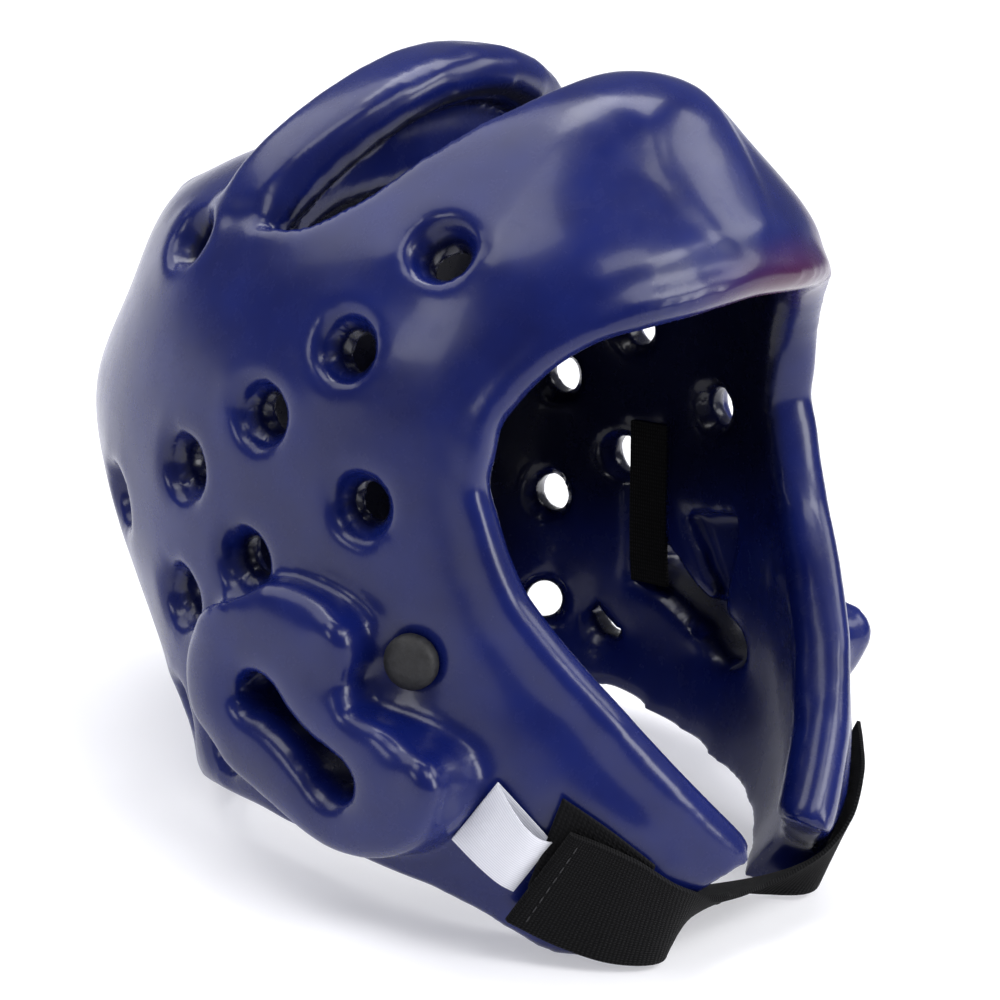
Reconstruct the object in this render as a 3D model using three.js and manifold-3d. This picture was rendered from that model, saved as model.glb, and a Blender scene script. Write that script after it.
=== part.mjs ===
// Sparring head guard: a soft dipped foam shell with a crown arch, ear rings, vent holes
// and a black chin strap. Millimetres, Z up, the face looks along -Y, the wearer's left is +X.
// The guard is laid out upright about the head's centre and is then tipped back, so that
// its jaws and its nape stand on the floor at Z = 0.
import * as THREE from 'three';
import { LoftGeometry } from 'three/addons/geometries/LoftGeometry.js';
import { mergeVertices } from 'three/addons/utils/BufferGeometryUtils.js';
import Module from 'manifold-3d';

// Sizes of the shell
const SHELL_HALF_WIDTH = 92;
const BROW_REACH = 114;
const NAPE_REACH = 119;
const CROWN_RISE = 113;
const JAW_DROP = 142;
const WALL = 17;
const REST_TILT = THREE.MathUtils.degToRad(11.5);

const SHELL_HEIGHT = CROWN_RISE + JAW_DROP;

// The shell's outer skin as level sections from the jaws to the crown.
// up: share of the shell's height. wide: share of the half width. mid: where the section is
// widest, as a share of the reach behind it. front, back: shares of the two reaches.
// squareFront, squareBack: the section's roundness, where 2 is an ellipse.
const SKIN_ROWS = [
  { up: 0.000, wide: 0.80, mid: -0.10, front: 0.90, back: 0.40, squareFront: 1.90, squareBack: 2.2 },
  { up: 0.102, wide: 0.92, mid: -0.05, front: 1.05, back: 0.50, squareFront: 2.20, squareBack: 2.2 },
  { up: 0.184, wide: 1.00, mid: 0.00, front: 1.05, back: 0.48, squareFront: 2.40, squareBack: 2.2 },
  { up: 0.263, wide: 1.02, mid: 0.00, front: 1.02, back: 0.58, squareFront: 2.50, squareBack: 2.2 },
  { up: 0.361, wide: 1.00, mid: 0.00, front: 0.98, back: 0.79, squareFront: 2.60, squareBack: 2.1 },
  { up: 0.467, wide: 1.00, mid: 0.00, front: 0.93, back: 0.94, squareFront: 2.70, squareBack: 2.1 },
  { up: 0.592, wide: 1.00, mid: 0.00, front: 0.89, back: 1.02, squareFront: 2.70, squareBack: 2.1 },
  { up: 0.651, wide: 0.99, mid: 0.00, front: 0.89, back: 0.96, squareFront: 2.70, squareBack: 2.1 },
  { up: 0.706, wide: 0.96, mid: -0.02, front: 0.90, back: 0.88, squareFront: 2.65, squareBack: 2.1 },
  { up: 0.784, wide: 0.88, mid: -0.05, front: 0.95, back: 0.83, squareFront: 2.50, squareBack: 2.1 },
  { up: 0.824, wide: 0.82, mid: -0.08, front: 0.92, back: 0.78, squareFront: 2.50, squareBack: 2.1 },
  { up: 0.867, wide: 0.71, mid: -0.15, front: 0.845, back: 0.59, squareFront: 2.40, squareBack: 2.1 },
  { up: 0.906, wide: 0.59, mid: -0.24, front: 0.775, back: 0.28, squareFront: 2.30, squareBack: 2.1 },
  { up: 0.941, wide: 0.45, mid: -0.37, front: 0.745, back: -0.05, squareFront: 2.20, squareBack: 2.1 },
  { up: 0.969, wide: 0.30, mid: -0.48, front: 0.705, back: -0.29, squareFront: 2.10, squareBack: 2.1 },
  { up: 0.988, wide: 0.17, mid: -0.55, front: 0.665, back: -0.42, squareFront: 2.00, squareBack: 2.0 },
  { up: 1.000, wide: 0.02, mid: -0.57, front: 0.59, back: -0.53, squareFront: 2.00, squareBack: 2.0 },
];

// The edge of the face opening on the skin, from the brow's middle down to the chin.
// up: share of the shell's height. turn: degrees round the section from straight ahead.
// lip: the roll's width inside this edge, as a share of its width at the brow.
const RIM_ROWS = [
  { up: 0.809, turn: 0, lip: 1.00 },
  { up: 0.806, turn: 7, lip: 1.00 },
  { up: 0.797, turn: 16, lip: 1.00 },
  { up: 0.785, turn: 27.6, lip: 1.00 },
  { up: 0.761, turn: 36.4, lip: 1.00 },
  { up: 0.719, turn: 44, lip: 1.00 },
  { up: 0.672, turn: 48.4, lip: 1.00 },
  { up: 0.623, turn: 50.3, lip: 1.00 },
  { up: 0.575, turn: 51.1, lip: 1.00 },
  { up: 0.490, turn: 48.1, lip: 1.05 },
  { up: 0.426, turn: 43.9, lip: 1.15 },
  { up: 0.351, turn: 35.7, lip: 1.30 },
  { up: 0.248, turn: 25, lip: 1.50 },
  { up: 0.169, turn: 16.5, lip: 1.60 },
  { up: 0.125, turn: 12, lip: 1.60 },
];
const RIM_LIP = 10;
const RIM_BURIED = 4;
const RIM_PROUD = 1.2;

// Vent holes of one side, placed like the rim's rows.
const VENT_ROWS = [
  { up: 0.832, turn: 59.1 },
  { up: 0.724, turn: 71.8 },
  { up: 0.638, turn: 87.4 },
  { up: 0.560, turn: 107 },
  { up: 0.489, turn: 132.4 },
  { up: 0.556, turn: 66.2 },
  { up: 0.471, turn: 91.5 },
  { up: 0.407, turn: 109.7 },
  { up: 0.803, turn: 125.7 },
  { up: 0.264, turn: 114 },
];
// The vent hole behind each ear ring, which the ring partly covers
const RING_VENT_ROW = { up: 0.259, turn: 96 };
const VENT_BORE = 8;
const VENT_MOUTH = 12;
// A vent hole's profile. depth: share of the wall, below the skin. spread: share of the way
// from the bore to the mouth.
const VENT_PROFILE = [
  { depth: 0.50, spread: 0.00 },
  { depth: 0.15, spread: 0.35 },
  { depth: -0.02, spread: 1.10 },
];

// The crown vent's outline seen from above, its middle first. side: share of the half width.
// ahead, behind: its front and back edges as shares of the nape's reach.
const CROWN_VENT_ROWS = [
  { side: 0.00, ahead: -0.415, behind: 0.034 },
  { side: 0.20, ahead: -0.400, behind: 0.045 },
  { side: 0.35, ahead: -0.346, behind: 0.070 },
  { side: 0.49, ahead: -0.287, behind: 0.105 },
  { side: 0.61, ahead: -0.217, behind: 0.135 },
  { side: 0.72, ahead: -0.143, behind: 0.150 },
  { side: 0.79, ahead: -0.030, behind: 0.125 },
];

// The crown arch's middle line, from the crown's middle to one foot, as shares of the half
// width, the nape's reach and the shell's height.
const ARCH_ROWS = [
  { side: 0.00, back: 0.040, up: 0.972 },
  { side: 0.17, back: 0.047, up: 0.965 },
  { side: 0.32, back: 0.070, up: 0.945 },
  { side: 0.45, back: 0.105, up: 0.918 },
  { side: 0.55, back: 0.135, up: 0.891 },
  { side: 0.63, back: 0.170, up: 0.861 },
  { side: 0.68, back: 0.200, up: 0.826 },
  { side: 0.70, back: 0.230, up: 0.792 },
];
const ARCH_WIDTH = 26;
const ARCH_THICKNESS = 14;
const ARCH_WEB = 12;
const ARCH_WEB_DROP = 30;

// The ear ring's outline on its outer face, and its slot's. ahead and below are shares of the
// ring's length and height, measured from the ring's middle.
const EAR_RING_REACH = 101;
const EAR_RING_LENGTH = 95;
const EAR_RING_HEIGHT = 73;
const EAR_RING_AHEAD = 29.5;
const EAR_RING_BELOW = 60;
const EAR_RING_ROUND = 7;
const EAR_RING_ROWS = [
  { ahead: -0.500, below: -0.095 },
  { ahead: -0.465, below: -0.247 },
  { ahead: -0.350, below: -0.390 },
  { ahead: -0.160, below: -0.500 },
  { ahead: 0.020, below: -0.490 },
  { ahead: 0.158, below: -0.380 },
  { ahead: 0.175, below: -0.310 },
  { ahead: 0.152, below: -0.215 },
  { ahead: 0.147, below: -0.140 },
  { ahead: 0.185, below: -0.075 },
  { ahead: 0.335, below: -0.030 },
  { ahead: 0.474, below: 0.074 },
  { ahead: 0.500, below: 0.216 },
  { ahead: 0.423, below: 0.390 },
  { ahead: 0.262, below: 0.500 },
  { ahead: 0.090, below: 0.500 },
  { ahead: -0.148, below: 0.370 },
  { ahead: -0.395, below: 0.184 },
  { ahead: -0.468, below: 0.078 },
];
const EAR_SLOT_ROWS = [
  { ahead: -0.275, below: -0.108 },
  { ahead: -0.254, below: -0.148 },
  { ahead: -0.208, below: -0.175 },
  { ahead: -0.140, below: -0.173 },
  { ahead: -0.088, below: -0.134 },
  { ahead: -0.050, below: -0.074 },
  { ahead: 0.020, below: -0.002 },
  { ahead: 0.134, below: 0.066 },
  { ahead: 0.200, below: 0.110 },
  { ahead: 0.235, below: 0.200 },
  { ahead: 0.194, below: 0.273 },
  { ahead: 0.130, below: 0.310 },
  { ahead: 0.070, below: 0.290 },
  { ahead: -0.034, below: 0.170 },
  { ahead: -0.168, below: 0.064 },
  { ahead: -0.240, below: 0.040 },
  { ahead: -0.280, below: -0.014 },
];

// The shell's lower edge seen from the side, from the nape to the jaws' tips: shares of the
// nape's reach behind the head's centre and of the jaws' drop below it. Rows marked floor
// lie on the floor plane, which gives their height.
const LOWER_EDGE_ROWS = [
  { back: 1.20, drop: 0.62 },
  { back: 0.70, floor: true },
  { back: 0.39, floor: true },
  { back: 0.33, drop: 0.704 },
  { back: 0.15, drop: 0.700 },
  { back: 0.00, drop: 0.713 },
  { back: -0.10, drop: 0.732 },
  { back: -0.24, drop: 0.757 },
  { back: -0.38, drop: 0.778 },
  { back: -0.50, drop: 0.792 },
  { back: -0.60, drop: 0.826 },
  { back: -0.67, drop: 0.865 },
  { back: -0.71, floor: true },
  { back: -0.83, floor: true },
  { back: -0.88, drop: 0.895 },
  { back: -0.94, drop: 0.850 },
  { back: -0.99, drop: 0.797 },
  { back: -1.04, drop: 0.758 },
  { back: -1.12, drop: 0.735 },
];
// The edge rises towards the skin, beyond this share of the half width.
const LOWER_EDGE_FLAT = 0.67;
const LOWER_EDGE_RISE = 9;
const FLOOR_DROP = 108.5;

// The two sides of the slanting gap between the jaws at the chin, in front and further back.
// front, rear: shares of the half width. drop: share of the jaws' drop.
const CHIN_ROWS = [
  { drop: 0.600, front: 0.110, rear: 0.110 },
  { drop: 0.690, front: 0.110, rear: 0.110 },
  { drop: 0.755, front: 0.280, rear: 0.230 },
  { drop: 0.860, front: 0.430, rear: 0.280 },
  { drop: 1.400, front: 0.560, rear: 0.300 },
];
const CHIN_FRONT = 1.05;
const CHIN_REAR = 0.70;

// The chin strap from the middle of the chin to one end: its upper and its lower edge. side:
// share of the half width. ahead: share of the brow's reach. drop: share of the jaws' drop.
// over: share of the way onto the tab.
const STRAP_ROWS = [
  { side: 0.00, ahead: 0.974, drop: 0.803, side2: 0.00, ahead2: 0.675, drop2: 0.868, over: 0.0 },
  { side: 0.15, ahead: 0.982, drop: 0.796, side2: 0.13, ahead2: 0.719, drop2: 0.875, over: 0.0 },
  { side: 0.30, ahead: 0.991, drop: 0.775, side2: 0.26, ahead2: 0.807, drop2: 0.894, over: 0.2 },
  { side: 0.43, ahead: 0.982, drop: 0.732, side2: 0.39, ahead2: 0.882, drop2: 0.905, over: 0.6 },
  { side: 0.55, ahead: 0.943, drop: 0.666, side2: 0.53, ahead2: 0.829, drop2: 0.887, over: 1.0 },
  { side: 0.635, ahead: 0.890, drop: 0.627, side2: 0.665, ahead2: 0.754, drop2: 0.842, over: 1.0 },
  { side: 0.707, ahead: 0.838, drop: 0.599, side2: 0.777, ahead2: 0.684, drop2: 0.789, over: 1.0 },
];
const STRAP_THICKNESS = 2.4;

// The tab under the strap's free end, and the label beside it, in the strap's columns.
const TAB_ROWS = [
  { side: 0.500, ahead: 0.955, drop: 0.685, side2: 0.480, ahead2: 0.865, drop2: 0.860 },
  { side: 0.630, ahead: 0.897, drop: 0.602, side2: 0.635, ahead2: 0.810, drop2: 0.790 },
  { side: 0.732, ahead: 0.822, drop: 0.535, side2: 0.765, ahead2: 0.735, drop2: 0.725 },
];
const TAB_THICKNESS = 2;
const LABEL_ROWS = [
  { side: 0.742, ahead: 0.800, drop: 0.628, side2: 0.788, ahead2: 0.708, drop2: 0.737, lift: 0.0 },
  { side: 0.792, ahead: 0.750, drop: 0.566, side2: 0.843, ahead2: 0.650, drop2: 0.680, lift: 1.0 },
  { side: 0.838, ahead: 0.698, drop: 0.507, side2: 0.897, ahead2: 0.594, drop2: 0.628, lift: 1.2 },
];
const LABEL_THICKNESS = 1.2;
const BAND_BEVEL = 0.4;

// The round plug beside each ear ring, in a shallow pocket of the skin.
const PLUG_ROW = { up: 0.395, turn: 57.1 };
const PLUG_RADIUS = 8;
const PLUG_RISE = 4.5;
const PLUG_SUNK = 2;
const PLUG_SIDES = 16;

// Inside each side: the upright recess with its cloth strip, and the three-cornered pocket.
// back: share of the nape's reach. drop: share of the jaws' drop.
const STRIP_BACK = -0.075;
const STRIP_TOP = 0.07;
const STRIP_END = 0.43;
const STRIP_WIDTH = 14;
const STRIP_THICKNESS = 1.6;
const RECESS_DEPTH = 3;
const RECESS_BORDER = 1.5;
const POCKET_ROWS = [
  { back: -0.200, drop: 0.250 },
  { back: -0.400, drop: 0.225 },
  { back: -0.335, drop: 0.485 },
];
const POCKET_DEPTH = 6;

// The gap kept between neighbouring pieces
const GAP = 0.3;

const SKIN_SIDES = 48;
const SKIN_LEVELS = 18;
const CAVITY_SIDES = 32;
const CAVITY_LEVELS = 11;
const VENT_SIDES = 10;
const FAR = 200;

const wasm = await Module();
wasm.setup();

// Turns a closed geometry into a solid for joining and cutting, its faces turned outward.
function solid(geometry) {
  geometry.deleteAttribute('normal');
  geometry.deleteAttribute('uv');
  const merged = mergeVertices(geometry, 1e-4);
  const triangles = new Uint32Array(merged.index.array);
  const make = () => new wasm.Manifold(new wasm.Mesh({
    numProp: 3,
    vertProperties: new Float32Array(merged.attributes.position.array),
    triVerts: triangles,
  }));
  const body = make();
  if (body.volume() > 0) {
    return body;
  }
  for (let i = 0; i < triangles.length; i += 3) {
    [triangles[i], triangles[i + 1]] = [triangles[i + 1], triangles[i]];
  }
  return make();
}

// A closed body lofted through sections, each turned so that the body faces outward.
function loft(sections) {
  const middleOf = (points) => points
    .reduce((sum, p) => sum.add(p), new THREE.Vector3())
    .divideScalar(points.length);
  const first = sections[0];
  const start = middleOf(first);
  const onward = middleOf(sections[1]).sub(start);
  const turn = new THREE.Vector3();
  first.forEach((p, i) => {
    const next = first[(i + 1) % first.length];
    turn.add(p.clone().sub(start).cross(next.clone().sub(start)));
  });
  const rows = turn.dot(onward) > 0 ? sections : sections.map((points) => [...points].reverse());
  return solid(new LoftGeometry(rows, { closed: true, capStart: true, capEnd: true }));
}

// Turns a solid back into a geometry.
function geometryOf(body) {
  const mesh = body.getMesh();
  const geometry = new THREE.BufferGeometry();
  const spots = new Float32Array(mesh.numVert * 3);
  for (let i = 0; i < mesh.numVert; i += 1) {
    for (let j = 0; j < 3; j += 1) {
      spots[i * 3 + j] = mesh.vertProperties[i * mesh.numProp + j];
    }
  }
  geometry.setAttribute('position', new THREE.BufferAttribute(spots, 3));
  geometry.setIndex(new THREE.BufferAttribute(new Uint32Array(mesh.triVerts), 1));
  geometry.computeVertexNormals();
  return geometry;
}

const skinColumns = ['wide', 'mid', 'front', 'back', 'squareFront', 'squareBack'];
const skinCurve = new THREE.CubicInterpolant(
  SKIN_ROWS.map((row) => row.up),
  SKIN_ROWS.flatMap((row) => skinColumns.map((name) => row[name])),
  skinColumns.length,
);

// One section of the skin at a share of the height.
function section(up) {
  const [wide, mid, front, back, squareFront, squareBack] = skinCurve.evaluate(up);
  const middle = mid * (mid < 0 ? BROW_REACH : NAPE_REACH);
  return {
    wide: wide * SHELL_HALF_WIDTH,
    middle,
    front: middle + front * BROW_REACH,
    back: back * NAPE_REACH - middle,
    squareFront,
    squareBack,
    level: up * SHELL_HEIGHT - JAW_DROP,
  };
}

// How far out a point lies in a section, where the skin is 1.
function farness(row, x, y) {
  const ahead = y < row.middle;
  const power = ahead ? row.squareFront : row.squareBack;
  const deep = ahead ? row.front : row.back;
  return (Math.abs(x) / row.wide) ** power + (Math.abs(y - row.middle) / deep) ** power;
}

// A point on the skin. angle 0 is +X and a quarter turn on is +Y. round gives plain ellipses.
function skinPoint(up, angle, round = false) {
  const row = section(up);
  const ahead = Math.sin(angle) < 0;
  const deep = ahead ? row.front : row.back;
  const square = ahead ? row.squareFront : row.squareBack;
  const power = round ? 2 : square;
  const across = Math.abs(Math.cos(angle)) / row.wide;
  const along = Math.abs(Math.sin(angle)) / deep;
  const radius = (across ** power + along ** power) ** (-1 / power);
  const y = row.middle + radius * Math.sin(angle);
  return new THREE.Vector3(radius * Math.cos(angle), y, row.level);
}

// The outward direction of the skin, from small steps along it.
function skinNormal(up, angle, round = false) {
  const step = 0.004;
  const low = skinPoint(Math.max(0, up - step), angle, round);
  const high = skinPoint(Math.min(1, up + step), angle, round);
  const left = skinPoint(up, angle - step, round);
  const right = skinPoint(up, angle + step, round);
  return right.sub(left).cross(high.sub(low)).normalize();
}

// The angle for a table's turn from straight ahead, to the wearer's right (-1) or left (1).
function angleOf(turn, side) {
  return -Math.PI / 2 + side * THREE.MathUtils.degToRad(turn);
}

// The skin's height above a point of the crown.
function crownLevel(x, y) {
  let low = 0.6;
  let high = 1;
  for (let i = 0; i < 40; i += 1) {
    const up = (low + high) / 2;
    if (farness(section(up), x, y) < 1) {
      low = up;
    } else {
      high = up;
    }
  }
  return low * SHELL_HEIGHT - JAW_DROP;
}

// The skin as a closed body, moved inward by a depth and drawn down below its lowest section.
function skinBody(depth, levels, sides) {
  const rows = [];
  for (let i = -1; i <= levels; i += 1) {
    const up = 1 - (1 - Math.max(i, 0) / levels) ** 1.35;
    const ring = [];
    for (let j = 0; j < sides; j += 1) {
      const angle = (j / sides) * Math.PI * 2;
      const spot = skinPoint(up, angle);
      if (depth > 0) {
        spot.addScaledVector(skinNormal(Math.min(up, 0.995), angle, true), -depth);
      }
      if (i < 0) {
        spot.z -= WALL * 2;
      }
      ring.push(spot);
    }
    rows.push(ring);
  }
  return loft(rows);
}

// A closed outline through points, evenly divided.
function closedOutline(points, count) {
  const flat = points.map(([a, b]) => new THREE.Vector3(a, b, 0));
  const curve = new THREE.CatmullRomCurve3(flat, true, 'centripetal');
  return curve.getSpacedPoints(count).slice(0, count).map((p) => [p.x, p.y]);
}

// Moves a closed outline outward (or inward, for a negative distance).
function spreadOutline(outline, distance) {
  let area = 0;
  outline.forEach(([a, b], i) => {
    const [c, d] = outline[(i + 1) % outline.length];
    area += a * d - c * b;
  });
  const sense = Math.sign(area);
  return outline.map(([a, b], i) => {
    const before = outline[(i + outline.length - 1) % outline.length];
    const after = outline[(i + 1) % outline.length];
    const along = new THREE.Vector2(after[0] - before[0], after[1] - before[1]).normalize();
    return [a + along.y * sense * distance, b - along.x * sense * distance];
  });
}

// A loft along X through outlines in Y and Z. Each layer is [x, outline].
function loftAlongX(layers) {
  return loft(layers.map(([x, outline]) => outline.map(([y, z]) => new THREE.Vector3(x, y, z))));
}

// A bar swept along stations with a rounded section. Each station has a middle, the direction
// across the bar and the one out of it, and its two half sizes.
function sweep(stations, corners, power) {
  const rows = stations.map((station, i) => {
    const next = stations[Math.min(i + 1, stations.length - 1)].at;
    const last = stations[Math.max(i - 1, 0)].at;
    const along = next.clone().sub(last).normalize();
    const out = station.out.clone().addScaledVector(along, -station.out.dot(along)).normalize();
    const across = out.clone().cross(along);
    const ring = [];
    for (let j = 0; j < corners; j += 1) {
      const angle = (j / corners) * Math.PI * 2;
      const c = Math.cos(angle);
      const s = Math.sin(angle);
      const radius = (Math.abs(c) ** power + Math.abs(s) ** power) ** (-1 / power);
      const spot = station.at.clone();
      spot.addScaledVector(across, c * radius * station.halfAcross);
      spot.addScaledVector(out, s * radius * station.halfOut);
      ring.push(spot);
    }
    return ring;
  });
  return loft(rows);
}

// Evenly spaced values of table rows, through a smooth curve over their columns.
function smoothRows(rows, columns, count) {
  const last = rows.length - 1;
  const curve = new THREE.CubicInterpolant(
    rows.map((row, i) => i / last),
    rows.flatMap((row) => columns.map((name) => row[name])),
    columns.length,
  );
  return Array.from({ length: count }, (v, i) => {
    const values = Array.from(curve.evaluate(i / (count - 1)));
    return Object.fromEntries(columns.map((name, j) => [name, values[j]]));
  });
}

// The half of a row list mirrored to the other side: right half reversed, then left half.
function bothSides(rows, place) {
  const right = rows.map((row) => place(row, -1)).reverse();
  const left = rows.slice(1).map((row) => place(row, 1));
  return [...right, ...left];
}

// A place on the skin at a rim row, and the skin's outward direction there.
function onRim(row, side) {
  const angle = angleOf(row.turn, side);
  return { at: skinPoint(row.up, angle), out: skinNormal(row.up, angle), lip: row.lip * RIM_LIP };
}

// The face opening: all that lies within the rim's line, from the cavity to the front.
function faceCutter() {
  const edge = bothSides(smoothRows(RIM_ROWS, ['up', 'turn', 'lip'], 16), onRim);
  const moved = (distance) => edge.map(({ at, out }) => at.clone().addScaledVector(out, distance));
  const ahead = moved(WALL * 3);
  return loft([moved(-WALL * 1.4), ahead, ahead.map((p) => p.clone().setY(p.y - FAR))]);
}

// The rounded roll round the face opening.
function rimRoll() {
  const edge = bothSides(smoothRows(RIM_ROWS, ['up', 'turn', 'lip'], 17), onRim);
  const faceMiddle = new THREE.Vector3(0, -BROW_REACH, -JAW_DROP * 0.2);
  const halfOut = (WALL + RIM_PROUD) / 2;
  const stations = edge.map(({ at, out, lip }, i) => {
    const halfAcross = (lip + RIM_BURIED) / 2;
    const next = edge[Math.min(i + 1, edge.length - 1)].at;
    const last = edge[Math.max(i - 1, 0)].at;
    const inward = out.clone().cross(next.clone().sub(last).normalize());
    if (inward.dot(faceMiddle.clone().sub(at)) < 0) {
      inward.negate();
    }
    const middle = at.clone()
      .addScaledVector(inward, halfAcross - RIM_BURIED)
      .addScaledVector(out, RIM_PROUD - halfOut);
    return { at: middle, out, halfAcross, halfOut };
  });
  return sweep(stations, 9, 2.8);
}

// One vent hole's cutter, its axis along the skin's outward direction.
function ventCutter(row, side) {
  const angle = angleOf(row.turn, side);
  const profile = [new THREE.Vector2(0, -WALL * 2), new THREE.Vector2(VENT_BORE, -WALL * 2)];
  VENT_PROFILE.forEach((step) => {
    const radius = VENT_BORE + (VENT_MOUTH - VENT_BORE) * step.spread;
    profile.push(new THREE.Vector2(radius, -step.depth * WALL));
  });
  const mouth = profile[profile.length - 1].x;
  profile.push(new THREE.Vector2(mouth + 2, WALL * 0.4), new THREE.Vector2(0, WALL * 0.4));
  const geometry = new THREE.LatheGeometry(profile, VENT_SIDES);
  const out = skinNormal(row.up, angle);
  geometry.applyQuaternion(new THREE.Quaternion().setFromUnitVectors(new THREE.Vector3(0, 1, 0), out));
  geometry.translate(...skinPoint(row.up, angle).toArray());
  return solid(geometry);
}

// The crescent vent through the crown, cut towards the head's middle.
function crownCutter() {
  const rows = smoothRows(CROWN_VENT_ROWS, ['side', 'ahead', 'behind'], 9);
  const front = bothSides(rows, (row, side) => [side * row.side, row.ahead]);
  const back = bothSides(rows, (row, side) => [side * row.side, row.behind]).reverse();
  const middle = new THREE.Vector3(0, -0.1 * NAPE_REACH, 0);
  const spots = [...front, ...back].map(([side, reach]) => {
    const x = side * SHELL_HALF_WIDTH;
    const y = reach * NAPE_REACH;
    return new THREE.Vector3(x, y, crownLevel(x, y));
  });
  const layers = [0.55, 1.5].map((share) => spots.map((p) => middle.clone().lerp(p, share)));
  return loft(layers);
}

// The arch over the crown vent, and the web that joins its back to the shell.
function crownArch() {
  const rows = smoothRows(ARCH_ROWS, ['side', 'back', 'up'], 9);
  const place = (row, side) => ({
    at: new THREE.Vector3(
      side * row.side * SHELL_HALF_WIDTH,
      row.back * NAPE_REACH,
      row.up * SHELL_HEIGHT - JAW_DROP,
    ),
  });
  const stations = bothSides(rows, place);
  stations.forEach((station) => {
    station.out = station.at.clone().setY(0).normalize();
    station.halfAcross = ARCH_WIDTH / 2;
    station.halfOut = ARCH_THICKNESS / 2;
  });
  const arch = sweep(stations, 12, 3);
  const web = stations.map((station) => ({
    at: station.at.clone().addScaledVector(station.out, -ARCH_WEB_DROP / 2)
      .add(new THREE.Vector3(0, (ARCH_WIDTH - ARCH_WEB) / 2 - 2, 0)),
    out: station.out,
    halfAcross: ARCH_WEB / 2,
    halfOut: ARCH_WEB_DROP / 2,
  }));
  return arch.add(sweep(web, 8, 4));
}

// The ear ring's body and the slot through it, on one side.
function earPlaces(rows, count) {
  return closedOutline(rows.map((row) => [
    -EAR_RING_AHEAD - row.ahead * EAR_RING_LENGTH,
    -EAR_RING_BELOW - row.below * EAR_RING_HEIGHT,
  ]), count);
}

function earRing(side, grow = 0) {
  const outline = spreadOutline(earPlaces(EAR_RING_ROWS, 34), grow);
  const round = EAR_RING_ROUND;
  const reach = EAR_RING_REACH + grow;
  return loftAlongX([
    [side * (reach - 50), outline],
    [side * (reach - round), outline],
    [side * (reach - round * 0.4), spreadOutline(outline, -round * 0.2)],
    [side * (reach - round * 0.1), spreadOutline(outline, -round * 0.56)],
    [side * reach, spreadOutline(outline, -round)],
  ]);
}

function earSlot(side) {
  const outline = earPlaces(EAR_SLOT_ROWS, 20);
  const reach = EAR_RING_REACH;
  return loftAlongX([
    [side * (reach - 60), outline],
    [side * (reach - 4), outline],
    [side * (reach - 1.2), spreadOutline(outline, 1.2)],
    [side * (reach + 2), spreadOutline(outline, 4)],
  ]);
}

// Height of the floor plane at a distance behind the head's centre, before tipping back.
function floorLevel(y) {
  return (y * Math.sin(REST_TILT) - FLOOR_DROP) / Math.cos(REST_TILT);
}

// Everything below the shell's lower edge.
function lowerCutter() {
  const edge = LOWER_EDGE_ROWS.map((row) => {
    const y = row.back * (row.back < 0 ? BROW_REACH : NAPE_REACH);
    return [y, row.floor ? floorLevel(y) : -row.drop * JAW_DROP];
  });
  const layer = (x, rise) => {
    const outline = edge.map(([y, z]) => [y, z + rise]);
    return [x, [...outline, [-FAR, -FAR * 1.5], [FAR, -FAR * 1.5]]];
  };
  const flat = LOWER_EDGE_FLAT * SHELL_HALF_WIDTH;
  const rise = LOWER_EDGE_RISE;
  return loftAlongX([
    layer(-FAR, rise),
    layer(-SHELL_HALF_WIDTH, rise),
    layer(-flat, 0),
    layer(flat, 0),
    layer(SHELL_HALF_WIDTH, rise),
    layer(FAR, rise),
  ]);
}

// The gap that parts the two jaws at the chin.
function chinCutter() {
  const layer = (name, y) => {
    const half = CHIN_ROWS.map((row) => [row[name] * SHELL_HALF_WIDTH, -row.drop * JAW_DROP]);
    const other = half.map(([x, z]) => [-x, z]).reverse();
    return [...half, ...other].map(([x, z]) => new THREE.Vector3(x, y, z));
  };
  return loft([
    layer('front', -FAR),
    layer('front', -CHIN_FRONT * BROW_REACH),
    layer('rear', -CHIN_REAR * BROW_REACH),
    layer('rear', 0),
  ]);
}

// A flat band through rows that give its two edges, on one side or across the chin. lift is
// the band's distance from the edges' surface and grow widens it all round.
function band(edges, thickness, grow = 0) {
  const middles = edges.map(({ upper, lower }) => upper.clone().lerp(lower, 0.5));
  const heart = new THREE.Vector3(0, 0, -JAW_DROP / 2);
  const last = edges.length - 1;
  const rows = edges.map(({ upper, lower, lift }, i) => {
    const along = middles[Math.min(i + 1, last)].clone().sub(middles[Math.max(i - 1, 0)]).normalize();
    const across = upper.clone().sub(lower);
    const halfWidth = across.length() / 2 + grow;
    across.normalize();
    const out = along.clone().cross(across).normalize();
    if (out.dot(middles[i].clone().sub(heart)) < 0) {
      out.negate();
    }
    const middle = middles[i].clone().addScaledVector(out, lift + thickness / 2);
    if (i === 0) {
      middle.addScaledVector(along, -grow);
    }
    if (i === last) {
      middle.addScaledVector(along, grow);
    }
    const halfThick = thickness / 2 + grow;
    const bevel = BAND_BEVEL;
    const corners = [
      [halfWidth, halfThick - bevel], [halfWidth - bevel, halfThick],
      [-halfWidth + bevel, halfThick], [-halfWidth, halfThick - bevel],
      [-halfWidth, -halfThick + bevel], [-halfWidth + bevel, -halfThick],
      [halfWidth - bevel, -halfThick], [halfWidth, -halfThick + bevel],
    ];
    return corners.map(([w, t]) => middle.clone().addScaledVector(across, w).addScaledVector(out, t));
  });
  return loft(rows);
}

// The two edge points of a band's row, on one side.
function bandEdges(row, side, lift) {
  return {
    upper: new THREE.Vector3(
      side * row.side * SHELL_HALF_WIDTH, -row.ahead * BROW_REACH, -row.drop * JAW_DROP,
    ),
    lower: new THREE.Vector3(
      side * row.side2 * SHELL_HALF_WIDTH, -row.ahead2 * BROW_REACH, -row.drop2 * JAW_DROP,
    ),
    lift,
  };
}

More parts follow.
